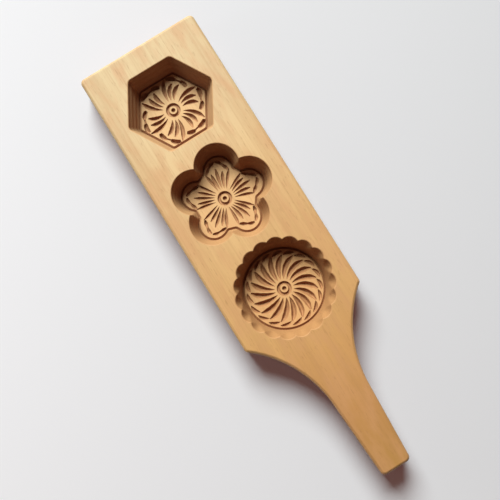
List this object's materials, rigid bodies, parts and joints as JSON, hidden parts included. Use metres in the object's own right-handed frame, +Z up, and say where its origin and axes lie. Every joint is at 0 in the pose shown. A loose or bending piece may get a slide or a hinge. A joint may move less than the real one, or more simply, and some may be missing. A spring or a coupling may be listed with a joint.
{
  "type": "wooden cookie mold",
  "caption": "Wooden cookie mold: a thick board with a tapering handle and deep hexagonal, blossom and fluted round cavities, their floors carved with petals, for pressing dough.",
  "frame": {"origin": "on the underside, below the middle of the mold's whole length and width", "axes": "+Z up out of the cavities, +Y along the mold towards its far end, the handle along -Y"},
  "size_m": [0.0784, 0.29, 0.025],
  "materials": {
    "beech": "sanded and lightly oiled"
  },
  "bodies": {
    "root": {"mold_body": "beech"}
  },
  "joints": []
}
